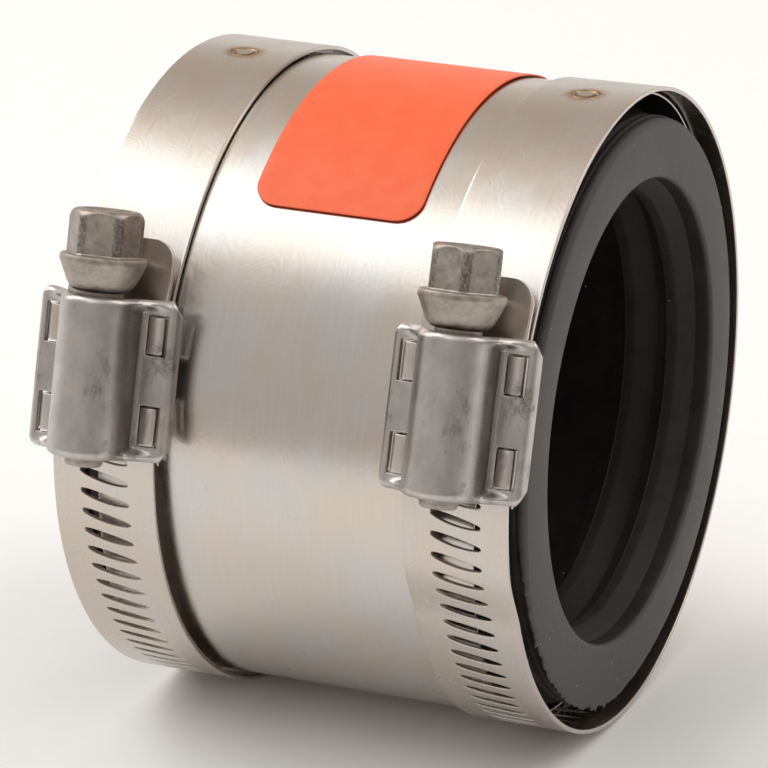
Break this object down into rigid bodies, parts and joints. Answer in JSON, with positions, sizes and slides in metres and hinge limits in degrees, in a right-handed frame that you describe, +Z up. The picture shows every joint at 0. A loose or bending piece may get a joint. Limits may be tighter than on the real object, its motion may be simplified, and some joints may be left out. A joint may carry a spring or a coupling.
{
  "type": "shielded pipe coupling",
  "caption": "Flexible rubber sleeve in a rolled steel shield, drawn tight round two butted pipe ends by worm-drive band clamps.",
  "frame": {"origin": "on the bore's axis, midway between the gasket's two end faces", "axes": "+X along the bore towards the end with the smaller bore, +Z up along the clamp screws, clamp housings towards -Y"},
  "size_m": [0.0608, 0.088, 0.0778],
  "materials": {
    "black_rubber": "moulded rubber, matte, lightly scratched",
    "shield_steel": "smooth stainless sheet with faint swirls",
    "label_orange": "coated paper label, satin",
    "band_steel_left": "stainless strip, satin",
    "band_end_steel_left": "stainless strip, satin, punched slots",
    "housing_steel_left": "tumbled stainless pressing",
    "saddle_steel_left": "tumbled stainless pressing",
    "screw_steel_left": "cold-headed steel, tumbled",
    "weld_steel_left": "heat-tinted spot weld",
    "band_steel_right": "stainless strip, satin",
    "band_end_steel_right": "stainless strip, satin, punched slots",
    "housing_steel_right": "tumbled stainless pressing",
    "saddle_steel_right": "tumbled stainless pressing",
    "screw_steel_right": "cold-headed steel, tumbled",
    "weld_steel_right": "heat-tinted spot weld"
  },
  "bodies": {
    "sleeve": {"gasket": "black_rubber", "shield": "shield_steel", "label": "label_orange", "band_left": "band_steel_left", "housing_left": "housing_steel_left", "saddle_left": "saddle_steel_left", "weld_left": "weld_steel_left", "band_right": "band_steel_right", "housing_right": "housing_steel_right", "saddle_right": "saddle_steel_right", "weld_right": "weld_steel_right"},
    "screw_left": {"screw_left": "screw_steel_left"},
    "band_end_left": {"band_end_left": "band_end_steel_left"},
    "screw_right": {"screw_right": "screw_steel_right"},
    "band_end_right": {"band_end_right": "band_end_steel_right"}
  },
  "joints": [
    {"name": "screw_left_turn", "type": "hinge", "parent": "sleeve", "child": "screw_left", "pos_m": [-0.0217, -0.04242, 0.01168], "axis": [0, -0.2656, -0.9641], "range_deg": [-720, 1080]},
    {"name": "band_end_left_travel", "type": "hinge", "parent": "sleeve", "child": "band_end_left", "pos_m": [-0.0217, 0, 0], "axis": [-1, 0, 0], "range_deg": [-7.6, 11.4]},
    {"name": "screw_right_turn", "type": "hinge", "parent": "sleeve", "child": "screw_right", "pos_m": [0.0217, -0.04165, 0.01289], "axis": [0, -0.2957, -0.9553], "range_deg": [-720, 1080]},
    {"name": "band_end_right_travel", "type": "hinge", "parent": "sleeve", "child": "band_end_right", "pos_m": [0.0217, 0, 0], "axis": [-1, 0, 0], "range_deg": [-7.6, 11.4]}
  ],
  "couplings": [
    {"joint": "band_end_left_travel", "follows": "screw_left_turn", "ratio": 0.0105},
    {"joint": "band_end_right_travel", "follows": "screw_right_turn", "ratio": 0.0105}
  ]
}
